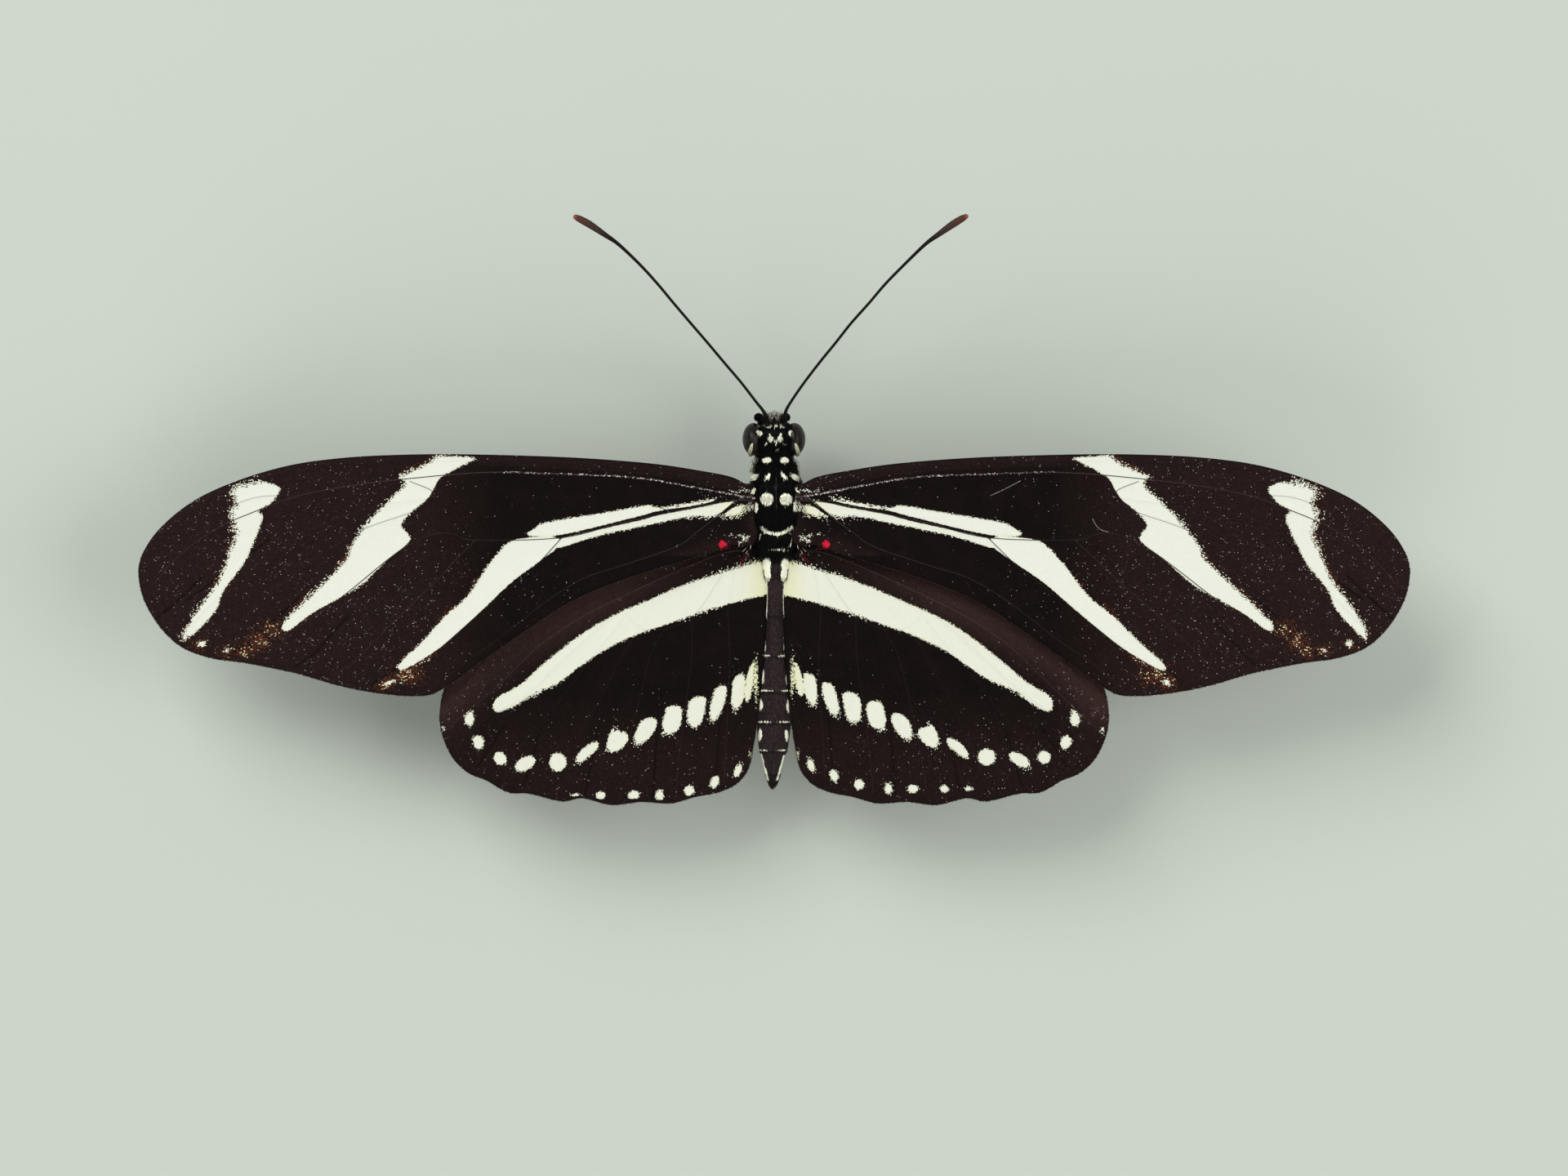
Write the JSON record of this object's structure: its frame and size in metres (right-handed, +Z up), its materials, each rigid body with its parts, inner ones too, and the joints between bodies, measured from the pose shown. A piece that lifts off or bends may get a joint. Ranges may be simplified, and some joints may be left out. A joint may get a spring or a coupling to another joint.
{
  "type": "zebra longwing butterfly",
  "caption": "Life-size still model of a black and pale-yellow striped longwing butterfly, wings spread flat, standing on its legs.",
  "frame": {"origin": "on the floor under the middle of the thorax, which is the middle of the bounding box's base", "axes": "+Y towards the head, +X towards the right wing tip, +Z up"},
  "size_m": [0.084, 0.0389, 0.0122],
  "materials": {
    "wing_scales": "matte scales, brown-black with pale yellow bands",
    "body_scales": "fine hair and scales, black with pale yellow marks",
    "eye": "glossy and finely faceted, dark brown",
    "feeler": "satin black with fine rings and an orange tip",
    "leg": "satin, dark above and pale below",
    "tongue": "dark brown, finely ringed"
  },
  "bodies": {
    "root": {"head": "body_scales", "eye_left": "eye", "eye_right": "eye", "antenna_left": "feeler", "antenna_right": "feeler", "palp_left": "body_scales", "palp_right": "body_scales", "proboscis": "tongue", "prothorax": "body_scales", "thorax": "body_scales", "abdomen": "body_scales", "forewing_left": "wing_scales", "forewing_right": "wing_scales", "hindwing_left": "wing_scales", "hindwing_right": "wing_scales", "foreleg_left": "leg", "foreleg_right": "leg", "midleg_left": "leg", "midleg_right": "leg", "hindleg_left": "leg", "hindleg_right": "leg"}
  },
  "joints": []
}
